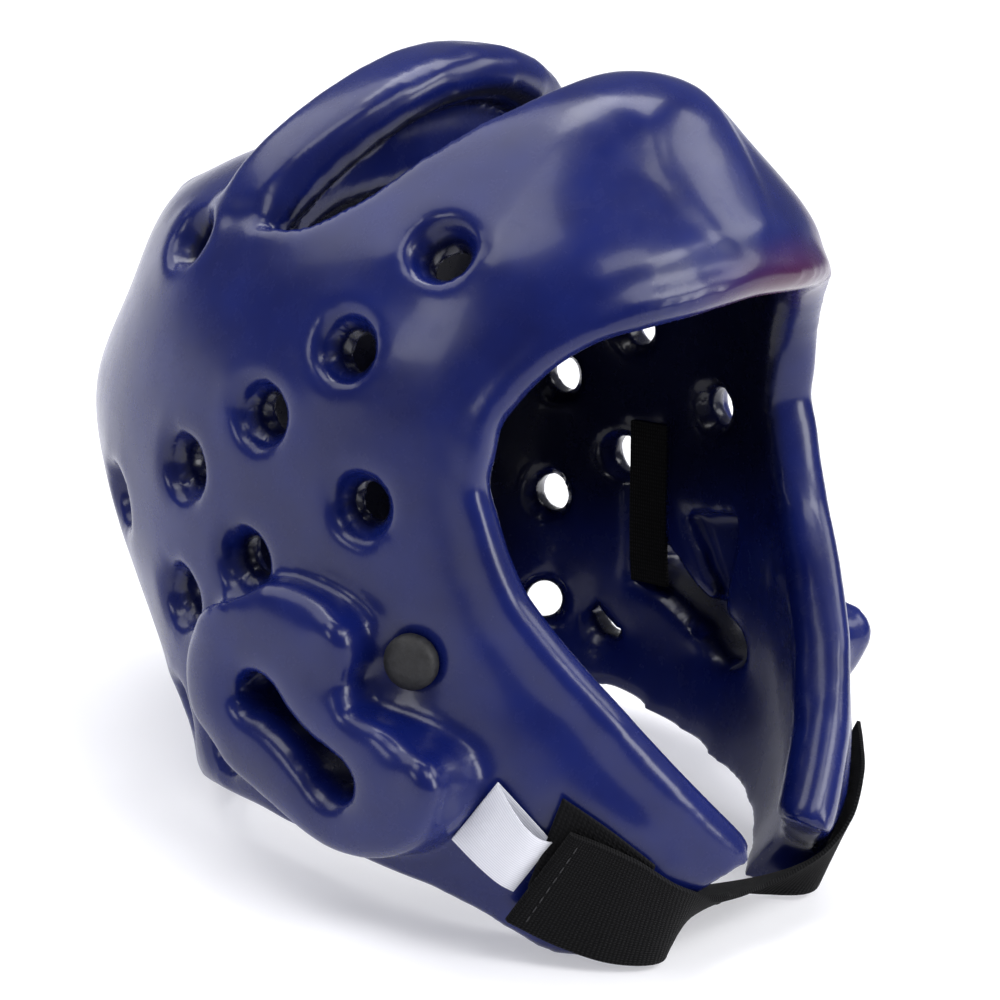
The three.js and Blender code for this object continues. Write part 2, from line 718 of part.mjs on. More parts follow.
const bandColumns = ['side', 'ahead', 'drop', 'side2', 'ahead2', 'drop2'];

function strapEdges() {
  const rows = smoothRows(STRAP_ROWS, [...bandColumns, 'over'], 10);
  const step = TAB_THICKNESS + GAP;
  return bothSides(rows, (row, side) => bandEdges(row, side, GAP + (side < 0 ? step * row.over : 0)));
}

function tabEdges() {
  return smoothRows(TAB_ROWS, bandColumns, 6).map((row) => bandEdges(row, -1, GAP));
}

function labelEdges() {
  const rows = smoothRows(LABEL_ROWS, [...bandColumns, 'lift'], 7);
  return rows.map((row) => bandEdges(row, -1, GAP + row.lift));
}

// A round body about the skin's outward direction at a place of the skin.
function onSkin(profile, place, side, sides) {
  const angle = angleOf(place.turn, side);
  const geometry = new THREE.LatheGeometry(profile.map(([r, h]) => new THREE.Vector2(r, h)), sides);
  const out = skinNormal(place.up, angle);
  geometry.applyQuaternion(new THREE.Quaternion().setFromUnitVectors(new THREE.Vector3(0, 1, 0), out));
  geometry.translate(...skinPoint(place.up, angle).toArray());
  return solid(geometry);
}

function plug(side) {
  const dome = [[0, -PLUG_SUNK], [PLUG_RADIUS, -PLUG_SUNK], [PLUG_RADIUS, PLUG_RISE * 0.25]];
  for (let i = 1; i < 4; i += 1) {
    const turn = (i / 4) * (Math.PI / 2);
    dome.push([PLUG_RADIUS * Math.cos(turn), PLUG_RISE * (0.25 + 0.75 * Math.sin(turn))]);
  }
  dome.push([0, PLUG_RISE]);
  return onSkin(dome, PLUG_ROW, side, PLUG_SIDES);
}

function plugPocket(side) {
  const radius = PLUG_RADIUS + GAP;
  const depth = PLUG_SUNK + GAP;
  return onSkin([[0, -depth], [radius, -depth], [radius, depth * 4], [0, depth * 4]], PLUG_ROW, side, PLUG_SIDES);
}

// A layer along the cavity's wall between two levels. low and high are its distances from the
// cavity's surface into the wall.
function wallLayer(side, halfWidth, top, end, low, high) {
  const middle = STRIP_BACK * NAPE_REACH;
  const levels = 7;
  const rows = [];
  for (let i = 0; i < levels; i += 1) {
    const z = -JAW_DROP * (top + (end - top) * (i / (levels - 1)));
    const up = (z + JAW_DROP) / SHELL_HEIGHT;
    const ring = [];
    const place = (share, depth) => {
      const y = middle + share * halfWidth;
      const row = section(up);
      const power = y < row.middle ? row.squareFront : row.squareBack;
      const deep = y < row.middle ? row.front : row.back;
      const x = row.wide * (1 - (Math.abs(y - row.middle) / deep) ** power) ** (1 / power);
      return new THREE.Vector3(side * (x - WALL + depth), y, z);
    };
    [-1, 0, 1].forEach((share) => ring.push(place(share, high)));
    [1, 0, -1].forEach((share) => ring.push(place(share, low)));
    rows.push(ring);
  }
  return loft(rows);
}

function strip(side) {
  const low = RECESS_DEPTH - GAP - STRIP_THICKNESS;
  return wallLayer(side, STRIP_WIDTH / 2, STRIP_TOP, STRIP_END, low, RECESS_DEPTH - GAP);
}

function recess(side) {
  const share = RECESS_BORDER / JAW_DROP;
  const half = STRIP_WIDTH / 2 + RECESS_BORDER;
  return wallLayer(side, half, STRIP_TOP - share, STRIP_END + share, -WALL / 2, RECESS_DEPTH);
}

// The three-cornered pocket in the cavity's wall.
function pocket(side) {
  const outline = POCKET_ROWS.map((row) => [row.back * NAPE_REACH, -row.drop * JAW_DROP]);
  const wall = SHELL_HALF_WIDTH - WALL;
  return loftAlongX([[side * (wall - WALL), outline], [side * (wall + POCKET_DEPTH), outline]]);
}

const cavity = skinBody(WALL, CAVITY_LEVELS, CAVITY_SIDES);
const tabSpace = band(tabEdges(), TAB_THICKNESS, GAP);
const strapSpace = band(strapEdges(), STRAP_THICKNESS, GAP);

let shell = skinBody(0, SKIN_LEVELS, SKIN_SIDES);
shell = shell.subtract(faceCutter());
shell = shell.subtract(crownCutter());
for (const side of [-1, 1]) {
  shell = shell.subtract(ventCutter(RING_VENT_ROW, side));
  shell = shell.add(earRing(side));
}
shell = shell.subtract(cavity);
shell = shell.add(rimRoll());
shell = shell.add(crownArch());
shell = shell.subtract(lowerCutter());
shell = shell.subtract(chinCutter());
for (const side of [-1, 1]) {
  VENT_ROWS.forEach((row) => {
    shell = shell.subtract(ventCutter(row, side));
  });
  shell = shell.subtract(earSlot(side));
  shell = shell.subtract(plugPocket(side));
  shell = shell.subtract(recess(side));
  shell = shell.subtract(pocket(side));
}
for (const edges of [strapEdges(), tabEdges(), labelEdges()]) {
  shell = shell.subtract(band(edges, WALL / 2, GAP));
}

const tab = band(tabEdges(), TAB_THICKNESS);
const strap = band(strapEdges(), STRAP_THICKNESS).subtract(tabSpace);
const label = band(labelEdges(), LABEL_THICKNESS)
  .subtract(strapSpace)
  .subtract(tabSpace)
  .subtract(earRing(-1, GAP));

// Tips the guard back onto its jaws and nape, with the floor at Z = 0.
function tipBack(geometry) {
  geometry.rotateX(-REST_TILT);
  geometry.translate(0, 0, FLOOR_DROP);
  return geometry;
}

const group = new THREE.Group();

function piece(name, body, settings) {
  const mesh = new THREE.Mesh(tipBack(geometryOf(body)), new THREE.MeshStandardMaterial(settings));
  mesh.name = name;
  group.add(mesh);
}

const foam = { color: '#20285f', roughness: 0.3, metalness: 0 };
const webbing = { color: '#1b1b1d', roughness: 0.9, metalness: 0 };
const satin = { color: '#e9e9ea', roughness: 0.5, metalness: 0 };
const plugStuff = { color: '#2b2b2e', roughness: 0.7, metalness: 0 };

piece('shell', shell, foam);
piece('chin_strap', strap, webbing);
piece('strap_tab', tab, webbing);
piece('label', label, satin);
piece('ear_plug_right', plug(-1), plugStuff);
piece('ear_plug_left', plug(1), plugStuff);
piece('ear_strip_right', strip(-1), webbing);
piece('ear_strip_left', strip(1), webbing);

// The middle of the whole stands over the origin.
const bounds = new THREE.Box3().setFromObject(group);
group.children.forEach((mesh) => mesh.geometry.translate(0, -(bounds.min.y + bounds.max.y) / 2, 0));

export default group;
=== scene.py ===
# %% [markdown]
# # A head guard of dipped foam
# The real guard is one soft foam shell that was dipped in a glossy skin, with a black
# chin strap. The frame gives its size and its place. This lesson dresses that frame:
# the shell is made smooth, and the cloth pieces are laid as thin sheets.

import math

import bmesh
import bpy
import numpy as np
from mathutils import Matrix, Vector, kdtree
from mathutils.bvhtree import BVHTree


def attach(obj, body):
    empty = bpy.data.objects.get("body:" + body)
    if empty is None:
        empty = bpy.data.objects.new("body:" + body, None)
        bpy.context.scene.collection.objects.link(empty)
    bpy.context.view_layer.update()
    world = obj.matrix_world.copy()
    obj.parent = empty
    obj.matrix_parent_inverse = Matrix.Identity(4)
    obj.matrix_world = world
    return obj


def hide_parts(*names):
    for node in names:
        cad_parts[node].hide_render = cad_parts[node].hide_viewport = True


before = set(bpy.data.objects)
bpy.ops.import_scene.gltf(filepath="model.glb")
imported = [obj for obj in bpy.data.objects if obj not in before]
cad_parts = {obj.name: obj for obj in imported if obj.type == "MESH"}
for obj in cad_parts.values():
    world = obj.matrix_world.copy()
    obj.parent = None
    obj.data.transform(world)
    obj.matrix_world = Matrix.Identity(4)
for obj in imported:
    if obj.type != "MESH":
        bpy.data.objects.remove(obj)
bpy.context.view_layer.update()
MM = 0.001

# %% [markdown]
# ## Two ways of standing
# The guard is easier to think of upright, as it sits on a level head. On the floor it
# stands on its jaws and its nape, tipped back by 11.5 degrees. One matrix turns a place
# on the upright guard, in millimetres, into a place of the frame, in metres.

# %% From upright to resting
REST_TILT = math.radians(11.5)
REST_SHIFT = Vector((0, 9.393, 108.5))
TO_REST = (
    Matrix.Scale(MM, 4) @ Matrix.Translation(REST_SHIFT) @ Matrix.Rotation(-REST_TILT, 4, "X")
)
TO_UPRIGHT = TO_REST.inverted()
TURN_TO_REST = Matrix.Rotation(-REST_TILT, 3, "X")
HALF_WIDTH = 92


def resting(x, y, z):
    """A place of the frame, in metres, for an upright place in millimetres."""
    return TO_REST @ Vector((x, y, z))


# %% Small helpers
def select_only(piece):
    """Deselects everything, then selects one piece and makes it active."""
    bpy.ops.object.select_all(action="DESELECT")
    piece.select_set(True)
    bpy.context.view_layer.objects.active = piece


def apply_all(piece):
    """Applies the modifiers of a piece, in their order."""
    select_only(piece)
    for modifier in list(piece.modifiers):
        bpy.ops.object.modifier_apply(modifier=modifier.name)


def shade_smooth(piece):
    """Shades all faces of a piece as one smooth surface."""
    select_only(piece)
    bpy.ops.object.shade_smooth()


def add_smooth(piece, name, passes, group=""):
    """Adds a Smooth modifier, over all points or as strongly as a vertex group says."""
    smooth = piece.modifiers.new(name, "SMOOTH")
    smooth.factor = 0.5
    smooth.iterations = passes
    smooth.vertex_group = group


def add_group(piece, name, weights):
    """Adds a vertex group from one weight for each point. Weights of 0 are left out."""
    group = piece.vertex_groups.new(name=name)
    for i in np.flatnonzero(np.asarray(weights) > 0):
        group.add([int(i)], float(weights[i]), "REPLACE")


def spots_of(piece):
    """The places of a mesh's points, as rows of x, y and z."""
    spots = np.empty(len(piece.data.vertices) * 3, np.float32)
    piece.data.vertices.foreach_get("co", spots)
    return spots.reshape(-1, 3).astype(float)


def move_spots(piece, spots):
    """Puts a mesh's points at new places."""
    piece.data.vertices.foreach_set("co", np.asarray(spots, np.float32).ravel())
    piece.data.update()


def smooth_step(value, low, high):
    """A soft step from 0 at low to 1 at high."""
    share = np.clip((value - low) / (high - low), 0, 1)
    return share * share * (3 - 2 * share)


def copy_of_node(node, name):
    """A copy of a frame node as a new piece, its loose triangles merged."""
    piece = bpy.data.objects.new(name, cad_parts[node].data.copy())
    bpy.context.collection.objects.link(piece)
    piece.data.materials.clear()
    select_only(piece)
    bpy.ops.mesh.customdata_custom_splitnormals_clear()
    bpy.ops.object.mode_set(mode="EDIT")
    bpy.ops.mesh.select_all(action="SELECT")
    bpy.ops.mesh.remove_doubles(threshold=0.00002)
    bpy.ops.object.mode_set(mode="OBJECT")
    return piece


# %% [markdown]
# ## The dipped foam shell
# The real shell is moulded foam, taken to be 17 mm thick, with soft edges everywhere:
# the dipping fills every corner a little. The frame's shell has its true form in flat facets. A
# voxel remesh gives it an even, dense mesh, and smoothing then does what the dipping
# does. The wide faces are smoothed much more than the mouths of the holes, so a vertex
# group holds how far each point lies from a sharp edge of the frame's shell.

# %% Find the sharp edges and the hollow corners of the shell
SHARP_ANGLE = math.radians(33)
HOLLOW_ANGLE = math.radians(18)
EDGE_STEP = 3 * MM
HEAD_MIDDLE = resting(0, 0, 10)


def tree_of(spots):
    """A search tree over a list of places."""
    tree = kdtree.KDTree(len(spots))
    for i, spot in enumerate(spots):
        tree.insert(spot, i)
    tree.balance()
    return tree


shell = copy_of_node("shell", "foam_shell")
form = bmesh.new()
form.from_mesh(shell.data)
sharp_spots, hollow_spots = [], []
for edge in form.edges:
    if len(edge.link_faces) != 2:
        continue
    bend = edge.calc_face_angle_signed()
    start, end = (v.co for v in edge.verts)
    count = max(1, math.ceil((end - start).length / EDGE_STEP))
    line = [start.lerp(end, i / count) for i in range(count + 1)]
    if abs(bend) > SHARP_ANGLE:
        sharp_spots += line
    facing = edge.link_faces[0].normal + edge.link_faces[1].normal
    if bend < -HOLLOW_ANGLE and facing.dot(start - HEAD_MIDDLE) > 0:
        hollow_spots += line
form.free()
sharp_tree = tree_of(sharp_spots)
print("points on sharp edges:", len(sharp_spots), "in hollow corners:", len(hollow_spots))

# %% Remesh the shell and soften its edges
VOXEL = 1.75 * MM
EDGE_PASSES = 8

remesh = shell.modifiers.new("Even mesh", "REMESH")
remesh.mode = "VOXEL"
remesh.voxel_size = VOXEL
add_smooth(shell, "Dipped edges", EDGE_PASSES)
apply_all(shell)
print("shell points:", len(shell.data.vertices))

# %% Smooth the wide faces
FACE_PASSES = 140
NEAR_EDGE = 3.5 * MM
FAR_FROM_EDGE = 11 * MM

away = np.array([sharp_tree.find(v.co)[2] for v in shell.data.vertices])
add_group(shell, "wide faces", smooth_step(away, NEAR_EDGE, FAR_FROM_EDGE))
add_smooth(shell, "Wide faces", FACE_PASSES, "wide faces")
apply_all(shell)


# %% [markdown]
# ### What the foam does at its edges
# Where two forms meet, as at the rim's roll or round the ear ring, the real foam sinks
# to a soft valley. The bores of the vents and of the ear slots are tighter than a cutter
# would leave them, because the skin swells into them. Both are small moves of the
# points along their own directions, found from the frame's hollow corners and from how
# near the opposite wall is. The slots swell more than the round holes.

# %% Tighten the bores and sink the valleys
VALLEY_DEPTH = 1.2 * MM
VALLEY_REACH = 7 * MM
BORE_ACROSS = 26 * MM
BORE_SWELL = 1.9 * MM
SLOT_SWELL = 2.6 * MM
SLOT_MIDDLE = np.array([-29.5, -60])
SLOT_REACH = 34
CLEAR_OF_BORES = 11 * MM


def outward_of(piece):
    """The outward directions at a mesh's points, as rows."""
    return np.array([v.normal for v in piece.data.vertices], float)


outward = outward_of(shell)
spots = spots_of(shell)
upright = np.array([TO_UPRIGHT @ Vector(p) for p in spots])
walls = BVHTree.FromObject(shell, bpy.context.evaluated_depsgraph_get())
across = np.full(len(spots), 1.0)
for i, (spot, way) in enumerate(zip(spots, outward)):
    start = Vector(spot) + Vector(way) * MM
    hit, facing, _, far = walls.ray_cast(start, Vector(way), BORE_ACROSS * 1.2)
    if hit is not None and facing.dot(Vector(way)) < -0.6:
        across[i] = far + MM
in_bore = 1 - smooth_step(across, BORE_ACROSS * 0.6, BORE_ACROSS)
in_bore *= np.abs(upright[:, 0]) > 25
from_slot = np.linalg.norm(upright[:, 1:] - SLOT_MIDDLE, axis=1)
in_slot = (from_slot < SLOT_REACH) & (np.abs(upright[:, 0]) > 70)
swell = np.where(in_slot, SLOT_SWELL, BORE_SWELL)
bore_tree = tree_of([Vector(p) for p in spots[in_bore > 0.6]])
hollow_spots = [p for p in hollow_spots if bore_tree.find(p)[2] > CLEAR_OF_BORES]
hollow_tree = tree_of(hollow_spots)
near_hollow = np.array([hollow_tree.find(Vector(p))[2] for p in spots])
valley = 1 - smooth_step(near_hollow, 0, VALLEY_REACH)
spots += outward * (in_bore * swell - valley * VALLEY_DEPTH)[:, None]
print("points in bores:", int((in_bore > 0.5).sum()), "in valleys:", int((valley > 0.5).sum()))

# %% [markdown]
# ### Forms that the frame leaves plain
# The ear rings stand a little prouder at their faces, the arch is fuller, and the brow
# carries a raised middle panel, bounded by a soft crease on each side.

# %% Fill the rings and the arch, and raise the brow's panel
RING_FACE = 101
RING_EXTRA = 4.2
RING_SPREAD = 2.2
ARCH_EXTRA = 1.8
PANEL_EXTRA = 1.4
CREASE_WIDTH = 7
# The panel's half width, in mm, at heights above the head's centre
PANEL_LEVELS = [60, 66, 70, 79, 90, 106, 114]
PANEL_HALVES = [0, 9, 12, 18, 21, 18, 14]

moves = np.zeros_like(upright)
side = np.sign(upright[:, 0])
on_ring = smooth_step(np.abs(upright[:, 0]), RING_FACE - 9, RING_FACE - 2)
moves[:, 0] += side * RING_EXTRA * on_ring
up_out = outward @ np.array(TURN_TO_REST)
sideways = up_out * [0, 1, 1]
on_wall = smooth_step(np.abs(upright[:, 0]), RING_FACE - 8, RING_FACE - 4)
moves += sideways * (RING_SPREAD * on_wall)[:, None]

arch_share = np.abs(upright[:, 0]) / (0.70 * HALF_WIDTH)
arch_back = 4.8 + 22.6 * arch_share**2.2
on_arch = 1 - smooth_step(np.abs(upright[:, 1] - arch_back), 12, 17)
on_arch *= smooth_step(upright[:, 2], 62, 76) * (1 - smooth_step(arch_share, 0.95, 1.15))
moves += up_out * (ARCH_EXTRA * on_arch)[:, None]

panel_half = np.interp(upright[:, 2], PANEL_LEVELS, PANEL_HALVES)
on_panel = smooth_step(panel_half - np.abs(upright[:, 0]), -CREASE_WIDTH / 2, CREASE_WIDTH / 2)
on_panel *= smooth_step(-upright[:, 1], 48, 70) * (1 - smooth_step(upright[:, 2], 98, 113))
on_panel *= smooth_step(upright[:, 2], 60, 66) * (up_out[:, 1] < 0.2)
moves += up_out * (PANEL_EXTRA * on_panel)[:, None]
spots += moves @ np.array(TURN_TO_REST).T * MM
spots[:, 2] = np.maximum(spots[:, 2], 0)
move_spots(shell, spots)

# %% [markdown]
# ### Even out what the moves left
# The moves leave small bumps. The valleys, the rim of the face opening, the lower edge
# and the walls of the slots and of the crown vent are smoothed once more, each with its
# own vertex group. Places below are upright ones, in millimetres.

# %% Smooth the valleys, the rims and the walls
EASE_PASSES = 2
VALLEY_PASSES = 7
RIM_PASSES = 16
WALL_PASSES = 10
VALLEY_NEAR, VALLEY_FAR = 6 * MM, 14 * MM
RIM_NEAR, RIM_FAR = 20 * MM, 30 * MM
FACE_FROM, FACE_FULL = 35, 50
RING_FROM, RING_FULL = 84, 90
LOW_EDGE, LOW_EDGE_ENDS = -88, -76
CROWN_HALF, CROWN_LEVEL = 66, 50
WALL_NEAR, WALL_FAR = 2 * MM, 7 * MM
WALL_EDGE_SHARE = 0.8
LEAST_SHARE = 0.05

aside = np.abs(upright[:, 0])
add_group(shell, "valleys", 1 - smooth_step(near_hollow, VALLEY_NEAR, VALLEY_FAR))
on_rim = 1 - smooth_step(near_hollow, RIM_NEAR, RIM_FAR)
on_rim = on_rim * smooth_step(-upright[:, 1], FACE_FROM, FACE_FULL)
on_rim *= 1 - smooth_step(aside, RING_FROM, RING_FULL)
on_low = 1 - smooth_step(upright[:, 2], LOW_EDGE, LOW_EDGE_ENDS)
add_group(shell, "rim and lower edge", np.maximum(on_rim, on_low) * (1 - in_bore))
near_sharp = np.array([sharp_tree.find(Vector(p))[2] for p in spots])
wall_edge = 1 - smooth_step(near_sharp, WALL_NEAR, WALL_FAR)
on_crown = (aside < CROWN_HALF) & (upright[:, 2] > CROWN_LEVEL)
on_crown &= np.maximum(in_bore, wall_edge) > LEAST_SHARE
crown_share = np.where(on_crown, np.maximum(in_bore, WALL_EDGE_SHARE * wall_edge), 0)
add_group(shell, "slot and crown walls", np.where(in_slot, in_bore, crown_share))
add_smooth(shell, "Ease", EASE_PASSES)
add_smooth(shell, "Even valleys", VALLEY_PASSES, "valleys")
add_smooth(shell, "Even rim", RIM_PASSES, "rim and lower edge")
add_smooth(shell, "Even walls", WALL_PASSES, "slot and crown walls")
apply_all(shell)
shade_smooth(shell)
print("points on an ear ring's face:", int((on_ring > 0.5).sum()))

# %% [markdown]
# ## Cloth bands
# The strap, its tab and the label are flat cloth. Each is a grid that is laid over the
# rows of a small table, which gives the band's two edges, and then gets its thickness
# with Solidify. A grid keeps its UV map, so the weave can follow it. The strips inside
# are made from the frame's own strips, further down.

# %% Rows of the bands
BROW_REACH = 114
JAW_DROP = 142
HEAD_HEART = np.array([0, 0, -JAW_DROP / 2])

# Shares of the half width, the brow's reach and the jaws' drop, for the upper and the
# lower edge; the last column is how far the strap lies over the tab.
STRAP_ROWS = [
    (0.00, 0.974, 0.803, 0.00, 0.675, 0.868, 0.0),
    (0.15, 0.982, 0.796, 0.13, 0.719, 0.875, 0.0),
    (0.30, 0.991, 0.775, 0.26, 0.807, 0.894, 0.2),
    (0.43, 0.982, 0.732, 0.39, 0.882, 0.905, 0.6),
    (0.55, 0.943, 0.666, 0.53, 0.829, 0.887, 1.0),
    (0.635, 0.890, 0.627, 0.665, 0.754, 0.842, 1.0),
    (0.707, 0.838, 0.599, 0.777, 0.684, 0.789, 1.0),
]
TAB_ROWS = [
    (0.500, 0.955, 0.685, 0.480, 0.865, 0.860, 0.0),
    (0.630, 0.897, 0.602, 0.635, 0.810, 0.790, 0.0),
    (0.732, 0.822, 0.535, 0.765, 0.735, 0.725, 0.0),
]
LABEL_ROWS = [
    (0.742, 0.800, 0.628, 0.788, 0.708, 0.737, 0.0),
    (0.792, 0.750, 0.566, 0.843, 0.650, 0.680, 0.6),
    (0.838, 0.698, 0.507, 0.897, 0.594, 0.628, 1.0),
]
GAP = 0.3


def curve_through(rows, shares):
    """Values of table rows at shares of their length, on a smooth curve."""
    table = np.array(rows, float)
    last = len(table) - 1
    slopes = np.gradient(table, axis=0)
    at = np.clip(np.asarray(shares, float) * last, 0, last)
    low = np.minimum(at.astype(int), last - 1)
    t = (at - low)[:, None]
    start, end = table[low], table[low + 1]
    leave, arrive = slopes[low], slopes[low + 1]
    return (
        (2 * t**3 - 3 * t**2 + 1) * start
        + (t**3 - 2 * t**2 + t) * leave
        + (3 * t**2 - 2 * t**3) * end
        + (t**3 - t**2) * arrive
    )


def band_frame(rows):
    """Upper edges, lower edges and outward directions along a band's rows, in mm."""
    upper = rows[:, 0:3] * [HALF_WIDTH, -BROW_REACH, -JAW_DROP]
    lower = rows[:, 3:6] * [HALF_WIDTH, -BROW_REACH, -JAW_DROP]
    middle = (upper + lower) / 2
    along = np.gradient(middle, axis=0)
    out = np.cross(along, upper - lower)
    out /= np.linalg.norm(out, axis=1)[:, None]
    inward = np.sum(out * (middle - HEAD_HEART), axis=1) < 0
    out[inward] *= -1
    return upper, lower, out


def lay_grid(name, layers, across):
    """A grid with one row of points for each layer row, spread across the band."""
    upper, lower = layers
    count = len(upper)
    bpy.ops.object.select_all(action="DESELECT")
    bpy.ops.mesh.primitive_grid_add(x_subdivisions=count - 1, y_subdivisions=across, size=1)
    piece = bpy.context.active_object
    piece.name = name
    piece.data.name = name
    flat = spots_of(piece)
    row = np.rint((flat[:, 0] + 0.5) * (count - 1)).astype(int)
    share = (flat[:, 1] + 0.5)[:, None]
    spots = lower[row] * (1 - share) + upper[row] * share
    move_spots(piece, [resting(*spot) for spot in spots])
    return piece


def give_thickness(piece, thickness, round_edge):
    """Gives a sheet its thickness to both sides, with rounded edges."""
    solid = piece.modifiers.new("Thickness", "SOLIDIFY")
    solid.thickness = thickness * MM
    solid.offset = 0
    solid.use_even_offset = True
    edge = piece.modifiers.new("Round edge", "BEVEL")
    edge.width = round_edge * MM
    edge.segments = 2
    edge.limit_method = "ANGLE"
    edge.angle_limit = math.radians(60)
    apply_all(piece)
    shade_smooth(piece)


def length_of(points):
    """Length of a line of points."""
    return float(np.linalg.norm(np.diff(points, axis=0), axis=1).sum())


# %% [markdown]
# ## The chin strap
# The real strap is a black elastic band, sewn to one jaw, that crosses under the chin
# and closes on the tab of the other jaw. Its free end is folded back on itself and
# sewn, so that it is easy to grip. Here one sheet runs along the outer layer, turns
# round at the end and runs back underneath to the seam. Its flat length counts the
# part that is folded back.

# %% Lay the strap
STRAP_SOLID = 2.4
LAYER = 1.1
TAB_SOLID = 2.0
FOLD_SHARE = 0.60

half = curve_through(STRAP_ROWS, np.linspace(0, 1, 46))
far_half = half[::-1].copy()
far_half[:, 6] = 0
near_half = half[1:].copy()
near_half[:, [0, 3]] *= -1
strap_rows = np.vstack([far_half, near_half])
upper, lower, out = band_frame(strap_rows)
lift = GAP + (TAB_SOLID + GAP) * strap_rows[:, 6:7] + STRAP_SOLID / 2
step = (LAYER + 0.12) / 2
fold_from = int(len(strap_rows) * FOLD_SHARE)
outer_upper = upper + out * (lift + step)
outer_lower = lower + out * (lift + step)
inner_upper = (upper + out * (lift - step))[fold_from:][::-1]
inner_lower = (lower + out * (lift - step))[fold_from:][::-1]
beyond = np.array([outer_upper[-1] - outer_upper[-2], outer_lower[-1] - outer_lower[-2]])
beyond /= np.linalg.norm(beyond, axis=1)[:, None]
turn_upper, turn_lower = [], []
for turn in np.radians([-50, -15, 15, 50])[::-1]:
    for turn_line, edge, ahead in ((turn_upper, upper, beyond[0]), (turn_lower, lower, beyond[1])):
        rise = lift[-1] + step * math.sin(turn)
        turn_line.append(edge[-1] + out[-1] * rise + ahead * step * math.cos(turn))
strap = lay_grid(
    "chin_strap_webbing",
    (
        np.vstack([outer_upper, turn_upper, inner_upper]),
        np.vstack([outer_lower, turn_lower, inner_lower]),
    ),
    14,
)
outer_run = (outer_upper + outer_lower) / 2
inner_run = (inner_upper + inner_lower) / 2
strap_length = length_of(np.vstack([outer_run, inner_run]))
strap_width = float(np.linalg.norm(upper - lower, axis=1).mean())
give_thickness(strap, LAYER, 0.3)
print(f"strap: {strap_length:.0f} mm long with its fold, {strap_width:.0f} mm wide")

# %% Sew the strap's folded end
STITCH_LONG = 2.6
STITCH_GAP = 1.0
STITCH_THICK = 0.45


def sew(name, starts, ends, ways):
    """Rows of thread stitches, each from a start to an end, lying on a surface."""
    bpy.ops.object.select_all(action="DESELECT")
    bpy.ops.mesh.primitive_uv_sphere_add(segments=8, ring_count=5, radius=0.5)
    pattern = bpy.context.active_object
    bpy.ops.object.select_all(action="DESELECT")
    copies = []
    for start, end, way in zip(starts, ends, ways):
        run = Vector(end) - Vector(start)
        count = int(run.length // (STITCH_LONG + STITCH_GAP))
        along = run.normalized()
        rise = Vector(way).normalized()
        turn = Matrix((along, rise.cross(along), rise)).transposed().to_4x4()
        size = Matrix.Diagonal((STITCH_LONG, STITCH_THICK, STITCH_THICK, 1))
        for i in range(count):
            middle = Vector(start).lerp(Vector(end), (i + 0.5) / count)
            stitch = bpy.data.objects.new(name, pattern.data.copy())
            bpy.context.collection.objects.link(stitch)
            stitch.data.transform(TO_REST @ Matrix.Translation(middle) @ turn @ size)
            stitch.select_set(True)
            copies.append(stitch)
    bpy.context.view_layer.objects.active = copies[0]
    bpy.ops.object.join()
    bpy.data.objects.remove(pattern)
    copies[0].name = name
    shade_smooth(copies[0])
    return copies[0]


surface = step + LAYER / 2
seam_upper = upper + out * (lift + surface)
seam_lower = lower + out * (lift + surface)
seam_rows = [fold_from + 2, len(strap_rows) - 3, 3]
starts = [seam_upper[i] * 0.94 + seam_lower[i] * 0.06 for i in seam_rows]
ends = [seam_upper[i] * 0.06 + seam_lower[i] * 0.94 for i in seam_rows]
strap_thread = sew("chin_strap_stitches", starts, ends, [out[i] for i in seam_rows])
print("stitch rows:", len(seam_rows))

# %% [markdown]
# ## The tab under the strap
# The strap's free end holds on a tab of hook cloth that is fixed to the jaw. It shows as
# a black edge above the strap. It is one thick sheet.

# %% Lay the tab
tab_rows = curve_through(TAB_ROWS, np.linspace(0, 1, 24))
tab_rows[:, [0, 3]] *= -1
tab_upper, tab_lower, tab_out = band_frame(tab_rows)
tab_lift = GAP + TAB_SOLID / 2
tab_edges = (tab_upper + tab_out * tab_lift, tab_lower + tab_out * tab_lift)
tab = lay_grid("strap_tab_hook_cloth", tab_edges, 14)
tab_length = length_of(sum(tab_edges) / 2)
tab_width = float(np.linalg.norm(tab_upper - tab_lower, axis=1).mean())
give_thickness(tab, TAB_SOLID - 0.2, 0.5)
print(f"tab: {tab_length:.0f} mm long, {tab_width:.0f} mm wide")

# %% [markdown]
# ## The label
# The label is a loop of white satin ribbon whose two ends are caught under the tab, so
# it stands off the jaw a little and its fold is soft. One thin sheet runs out, turns
# round and comes back. The label is bare.

# %% Lay the label
LABEL_SHEET = 0.35
LABEL_BULGE = 6.0

label_shares = np.linspace(0, 1, 26)
label_rows = curve_through(LABEL_ROWS, label_shares)
label_rows[:, [0, 3]] *= -1
label_upper, label_lower, label_out = band_frame(label_rows)
label_lift = GAP + 0.35 + label_rows[:, 6:7]
bulge = LABEL_BULGE * np.sin(np.pi * label_shares**0.8)[:, None]
near_fold = smooth_step(label_shares, 0.0, 0.25)[:, None] * 0.9
top_edge = label_upper + label_out * (label_lift + bulge + near_fold)
low_edge = label_lower + label_out * (label_lift + bulge * 0.35 + near_fold)
back_top = (label_upper + label_out * label_lift)[::-1]
back_low = (label_lower + label_out * label_lift)[::-1]
label = lay_grid(
    "label_satin_ribbon", (np.vstack([top_edge, back_top]), np.vstack([low_edge, back_low])), 12
)
label_length = length_of(np.vstack([(top_edge + low_edge) / 2, (back_top + back_low) / 2]))
label_width = float(np.linalg.norm(label_upper - label_lower, axis=1).mean())
give_thickness(label, LABEL_SHEET, 0.1)
print(f"label: {label_length:.0f} mm long as a loop, {label_width:.0f} mm wide")

